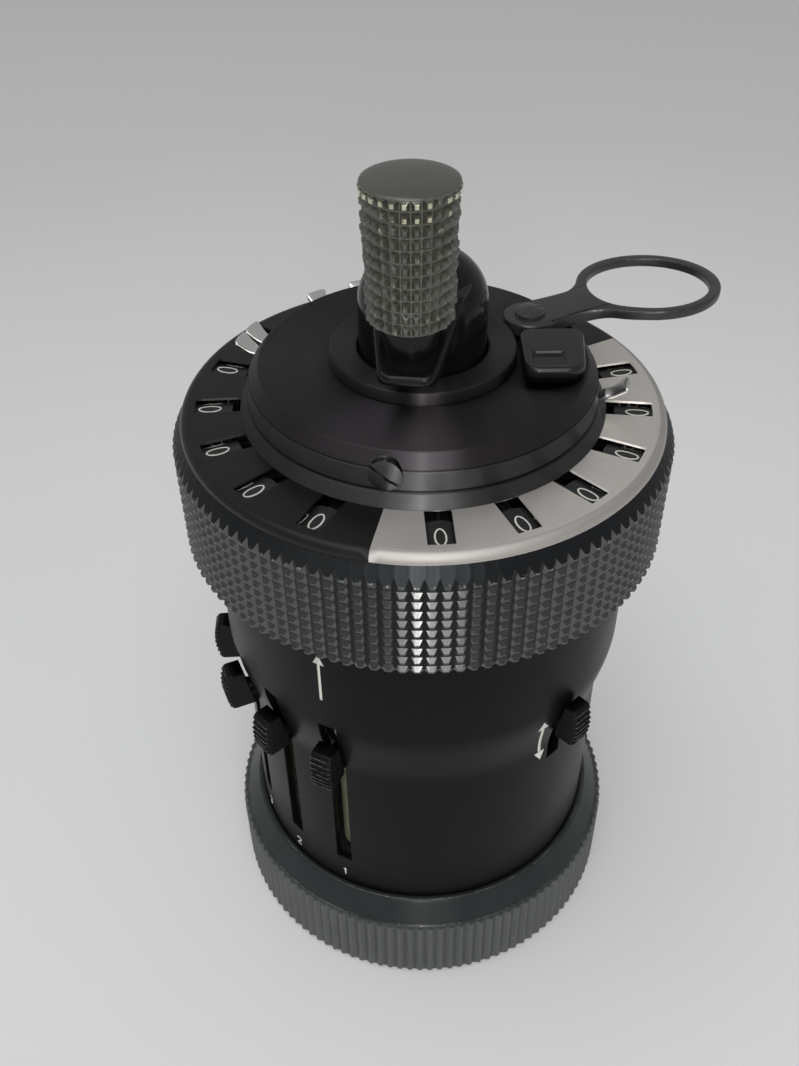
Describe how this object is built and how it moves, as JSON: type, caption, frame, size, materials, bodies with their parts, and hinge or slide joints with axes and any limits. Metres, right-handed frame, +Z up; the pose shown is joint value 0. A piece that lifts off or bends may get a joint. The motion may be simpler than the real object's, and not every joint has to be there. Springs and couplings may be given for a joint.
{
  "type": "mechanical pocket calculator",
  "caption": "Hand-cranked cylindrical pocket calculator with setting slides, a lifting and turning carriage of numeral dials, a clearing lever and a knurled crank.",
  "frame": {"origin": "centre of the underside of the base, on the machine's axis", "axes": "+Z up along the axis, -Y towards the side that the picture shows, +X to its right"},
  "size_m": [0.059, 0.053, 0.1012],
  "materials": {
    "housing_black": "satin black enamel",
    "base_black": "satin black enamel on a fluted ring",
    "carriage_black": "black anodised, pyramid knurl with bright worn points",
    "cover_black": "satin black",
    "cover_silver": "matt silver",
    "deck_black": "black anodised, turned",
    "lever_black": "black, worn at the edges",
    "crank_black": "gloss black, knurl rubbed to metal",
    "screw_steel": "blackened",
    "frame_steel": "turned",
    "drum_brass": "machined",
    "knob_black": "satin black, ridged",
    "marker_silver": "bright",
    "dial_black": "matt black with pale numerals"
  },
  "bodies": {
    "frame": {"main_housing": "housing_black", "base_cup": "base_black", "lower_plate": "frame_steel", "upper_plate": "frame_steel", "transmission_shafts": "frame_steel"},
    "carry": {"carry_bell": "drum_brass"},
    "crank": {"main_shaft": "frame_steel", "step_drum": "drum_brass", "crank_arm": "crank_black", "crank_grip": "crank_black"},
    "sleeve": {"carriage_sleeve": "deck_black", "carriage_spring": "frame_steel"},
    "carriage": {"carriage_ring": "carriage_black", "result_cover": "cover_black", "counter_cover": "cover_silver", "dial_carrier": "frame_steel", "marker_ring": "deck_black", "ring_screw": "screw_steel"},
    "clearing": {"clearing_deck": "deck_black", "lever_screw": "screw_steel"},
    "lever": {"clearing_lever": "lever_black"},
    "reversing": {"reversing_lever": "knob_black"},
    "marker_1": {"decimal_marker_1": "marker_silver"},
    "marker_2": {"decimal_marker_2": "marker_silver"},
    "marker_3": {"decimal_marker_3": "marker_silver"},
    "marker_4": {"decimal_marker_4": "marker_silver"},
    "marker_5": {"decimal_marker_5": "marker_silver"},
    "slide_1": {"setting_slider_1": "knob_black"},
    "shaft_1": {"setting_shaft_1": "drum_brass"},
    "slide_2": {"setting_slider_2": "knob_black"},
    "shaft_2": {"setting_shaft_2": "drum_brass"},
    "slide_3": {"setting_slider_3": "knob_black"},
    "shaft_3": {"setting_shaft_3": "drum_brass"},
    "slide_4": {"setting_slider_4": "knob_black"},
    "shaft_4": {"setting_shaft_4": "drum_brass"},
    "slide_5": {"setting_slider_5": "knob_black"},
    "shaft_5": {"setting_shaft_5": "drum_brass"},
    "slide_6": {"setting_slider_6": "knob_black"},
    "shaft_6": {"setting_shaft_6": "drum_brass"},
    "slide_7": {"setting_slider_7": "knob_black"},
    "shaft_7": {"setting_shaft_7": "drum_brass"},
    "slide_8": {"setting_slider_8": "knob_black"},
    "shaft_8": {"setting_shaft_8": "drum_brass"},
    "result_dial_1": {"result_dial_1": "dial_black"},
    "result_dial_2": {"result_dial_2": "dial_black"},
    "result_dial_3": {"result_dial_3": "dial_black"},
    "result_dial_4": {"result_dial_4": "dial_black"},
    "result_dial_5": {"result_dial_5": "dial_black"},
    "result_dial_6": {"result_dial_6": "dial_black"},
    "result_dial_7": {"result_dial_7": "dial_black"},
    "result_dial_8": {"result_dial_8": "dial_black"},
    "result_dial_9": {"result_dial_9": "dial_black"},
    "result_dial_10": {"result_dial_10": "dial_black"},
    "result_dial_11": {"result_dial_11": "dial_black"},
    "counter_dial_1": {"counter_dial_1": "dial_black"},
    "counter_dial_2": {"counter_dial_2": "dial_black"},
    "counter_dial_3": {"counter_dial_3": "dial_black"},
    "counter_dial_4": {"counter_dial_4": "dial_black"},
    "counter_dial_5": {"counter_dial_5": "dial_black"},
    "counter_dial_6": {"counter_dial_6": "dial_black"}
  },
  "joints": [
    {"name": "crank_turn", "type": "hinge", "parent": "frame", "child": "carry", "pos_m": [0, 0, 0], "axis": [0, 0, 1], "continuous": true},
    {"name": "crank_lift", "type": "slide", "parent": "carry", "child": "crank", "axis": [0, 0, 1], "range_m": [0, 0.004]},
    {"name": "carriage_lift", "type": "slide", "parent": "frame", "child": "sleeve", "axis": [0, 0, 1], "range_m": [0, 0.003], "deforming": ["carriage_spring"]},
    {"name": "carriage_turn", "type": "hinge", "parent": "sleeve", "child": "carriage", "pos_m": [0, 0, 0], "axis": [0, 0, 1], "range_deg": [0, 100]},
    {"name": "clearing_turn", "type": "hinge", "parent": "carriage", "child": "clearing", "pos_m": [0, 0, 0], "axis": [0, 0, 1], "continuous": true},
    {"name": "lever_fold", "type": "hinge", "parent": "clearing", "child": "lever", "pos_m": [0.01141, 0.00557, 0.079], "axis": [0, 0, 1], "range_deg": [0, 95]},
    {"name": "reversing_slide", "type": "slide", "parent": "frame", "child": "reversing", "axis": [0, 0, -1], "range_m": [0, 0.005]},
    {"name": "marker_1_slide", "type": "hinge", "parent": "carriage", "child": "marker_1", "pos_m": [0, 0, 0.0752], "axis": [0, 0, 1], "range_deg": [0, 60]},
    {"name": "marker_2_slide", "type": "hinge", "parent": "carriage", "child": "marker_2", "pos_m": [0, 0, 0.0752], "axis": [0, 0, 1], "range_deg": [-15, 0]},
    {"name": "marker_3_slide", "type": "hinge", "parent": "carriage", "child": "marker_3", "pos_m": [0, 0, 0.0752], "axis": [0, 0, 1], "range_deg": [-8, 8]},
    {"name": "marker_4_slide", "type": "hinge", "parent": "carriage", "child": "marker_4", "pos_m": [0, 0, 0.0752], "axis": [0, 0, 1], "range_deg": [-60, 2]},
    {"name": "marker_5_slide", "type": "hinge", "parent": "carriage", "child": "marker_5", "pos_m": [0, 0, 0.0752], "axis": [0, 0, 1], "range_deg": [-60, 30]},
    {"name": "slide_1_set", "type": "slide", "parent": "frame", "child": "slide_1", "axis": [0, 0, -1], "range_m": [0, 0.018]},
    {"name": "shaft_1_turn", "type": "hinge", "parent": "frame", "child": "shaft_1", "pos_m": [-0.00817, -0.01604, 0.02], "axis": [0, 0, 1], "range_deg": [0, 324]},
    {"name": "slide_2_set", "type": "slide", "parent": "frame", "child": "slide_2", "axis": [0, 0, -1], "range_m": [0, 0.018]},
    {"name": "shaft_2_turn", "type": "hinge", "parent": "frame", "child": "shaft_2", "pos_m": [-0.01316, -0.01228, 0.02], "axis": [0, 0, 1], "range_deg": [0, 324]},
    {"name": "slide_3_set", "type": "slide", "parent": "frame", "child": "slide_3", "axis": [0, 0, -1], "range_m": [0, 0.018]},
    {"name": "shaft_3_turn", "type": "hinge", "parent": "frame", "child": "shaft_3", "pos_m": [-0.01657, -0.00703, 0.02], "axis": [0, 0, 1], "range_deg": [0, 324]},
    {"name": "slide_4_set", "type": "slide", "parent": "frame", "child": "slide_4", "axis": [0, 0, -1], "range_m": [0, 0.018]},
    {"name": "shaft_4_turn", "type": "hinge", "parent": "frame", "child": "shaft_4", "pos_m": [-0.01798, -0.00094, 0.02], "axis": [0, 0, 1], "range_deg": [0, 324]},
    {"name": "slide_5_set", "type": "slide", "parent": "frame", "child": "slide_5", "axis": [0, 0, -1], "range_m": [0, 0.018]},
    {"name": "shaft_5_turn", "type": "hinge", "parent": "frame", "child": "shaft_5", "pos_m": [-0.01721, 0.00526, 0.02], "axis": [0, 0, 1], "range_deg": [0, 324]},
    {"name": "slide_6_set", "type": "slide", "parent": "frame", "child": "slide_6", "axis": [0, 0, -1], "range_m": [0, 0.018]},
    {"name": "shaft_6_turn", "type": "hinge", "parent": "frame", "child": "shaft_6", "pos_m": [-0.01438, 0.01083, 0.02], "axis": [0, 0, 1], "range_deg": [0, 324]},
    {"name": "slide_7_set", "type": "slide", "parent": "frame", "child": "slide_7", "axis": [0, 0, -1], "range_m": [0, 0.018]},
    {"name": "shaft_7_turn", "type": "hinge", "parent": "frame", "child": "shaft_7", "pos_m": [-0.0098, 0.0151, 0.02], "axis": [0, 0, 1], "range_deg": [0, 324]},
    {"name": "slide_8_set", "type": "slide", "parent": "frame", "child": "slide_8", "axis": [0, 0, -1], "range_m": [0, 0.018]},
    {"name": "shaft_8_turn", "type": "hinge", "parent": "frame", "child": "shaft_8", "pos_m": [-0.00405, 0.01754, 0.02], "axis": [0, 0, 1], "range_deg": [0, 324]},
    {"name": "result_dial_1_turn", "type": "hinge", "parent": "carriage", "child": "result_dial_1", "pos_m": [-0.00999, -0.0196, 0.06955], "axis": [-0.454, -0.891, 0], "continuous": true},
    {"name": "result_dial_2_turn", "type": "hinge", "parent": "carriage", "child": "result_dial_2", "pos_m": [-0.01609, -0.015, 0.06955], "axis": [-0.7314, -0.682, 0], "continuous": true},
    {"name": "result_dial_3_turn", "type": "hinge", "parent": "carriage", "child": "result_dial_3", "pos_m": [-0.02025, -0.0086, 0.06955], "axis": [-0.9205, -0.3907, 0], "continuous": true},
    {"name": "result_dial_4_turn", "type": "hinge", "parent": "carriage", "child": "result_dial_4", "pos_m": [-0.02197, -0.00115, 0.06955], "axis": [-0.9986, -0.0523, 0], "continuous": true},
    {"name": "result_dial_5_turn", "type": "hinge", "parent": "carriage", "child": "result_dial_5", "pos_m": [-0.02104, 0.00643, 0.06955], "axis": [-0.9563, 0.2924, 0], "continuous": true},
    {"name": "result_dial_6_turn", "type": "hinge", "parent": "carriage", "child": "result_dial_6", "pos_m": [-0.01757, 0.01324, 0.06955], "axis": [-0.7986, 0.6018, 0], "continuous": true},
    {"name": "result_dial_7_turn", "type": "hinge", "parent": "carriage", "child": "result_dial_7", "pos_m": [-0.01198, 0.01845, 0.06955], "axis": [-0.5446, 0.8387, 0], "continuous": true},
    {"name": "result_dial_8_turn", "type": "hinge", "parent": "carriage", "child": "result_dial_8", "pos_m": [-0.00495, 0.02144, 0.06955], "axis": [-0.225, 0.9744, 0], "continuous": true},
    {"name": "result_dial_9_turn", "type": "hinge", "parent": "carriage", "child": "result_dial_9", "pos_m": [0.00268, 0.02184, 0.06955], "axis": [0.1219, 0.9925, 0], "continuous": true},
    {"name": "result_dial_10_turn", "type": "hinge", "parent": "carriage", "child": "result_dial_10", "pos_m": [0.00999, 0.0196, 0.06955], "axis": [0.454, 0.891, 0], "continuous": true},
    {"name": "result_dial_11_turn", "type": "hinge", "parent": "carriage", "child": "result_dial_11", "pos_m": [0.01609, 0.015, 0.06955], "axis": [0.7314, 0.682, 0], "continuous": true},
    {"name": "counter_dial_1_turn", "type": "hinge", "parent": "carriage", "child": "counter_dial_1", "pos_m": [0.00115, -0.02197, 0.06955], "axis": [0.0523, -0.9986, 0], "continuous": true},
    {"name": "counter_dial_2_turn", "type": "hinge", "parent": "carriage", "child": "counter_dial_2", "pos_m": [0.0086, -0.02025, 0.06955], "axis": [0.3907, -0.9205, 0], "continuous": true},
    {"name": "counter_dial_3_turn", "type": "hinge", "parent": "carriage", "child": "counter_dial_3", "pos_m": [0.015, -0.01609, 0.06955], "axis": [0.682, -0.7314, 0], "continuous": true},
    {"name": "counter_dial_4_turn", "type": "hinge", "parent": "carriage", "child": "counter_dial_4", "pos_m": [0.0196, -0.00999, 0.06955], "axis": [0.891, -0.454, 0], "continuous": true},
    {"name": "counter_dial_5_turn", "type": "hinge", "parent": "carriage", "child": "counter_dial_5", "pos_m": [0.02184, -0.00268, 0.06955], "axis": [0.9925, -0.1219, 0], "continuous": true},
    {"name": "counter_dial_6_turn", "type": "hinge", "parent": "carriage", "child": "counter_dial_6", "pos_m": [0.02144, 0.00495, 0.06955], "axis": [0.9744, 0.225, 0], "continuous": true}
  ],
  "couplings": [
    {"joint": "shaft_1_turn", "follows": "slide_1_set", "rad_per_m": 314.16},
    {"joint": "shaft_2_turn", "follows": "slide_2_set", "rad_per_m": 314.16},
    {"joint": "shaft_3_turn", "follows": "slide_3_set", "rad_per_m": 314.16},
    {"joint": "shaft_4_turn", "follows": "slide_4_set", "rad_per_m": 314.16},
    {"joint": "shaft_5_turn", "follows": "slide_5_set", "rad_per_m": 314.16},
    {"joint": "shaft_6_turn", "follows": "slide_6_set", "rad_per_m": 314.16},
    {"joint": "shaft_7_turn", "follows": "slide_7_set", "rad_per_m": 314.16},
    {"joint": "shaft_8_turn", "follows": "slide_8_set", "rad_per_m": 314.16},
    {"joint": "counter_dial_1_turn", "follows": "crank_turn", "ratio": 0.1}
  ]
}
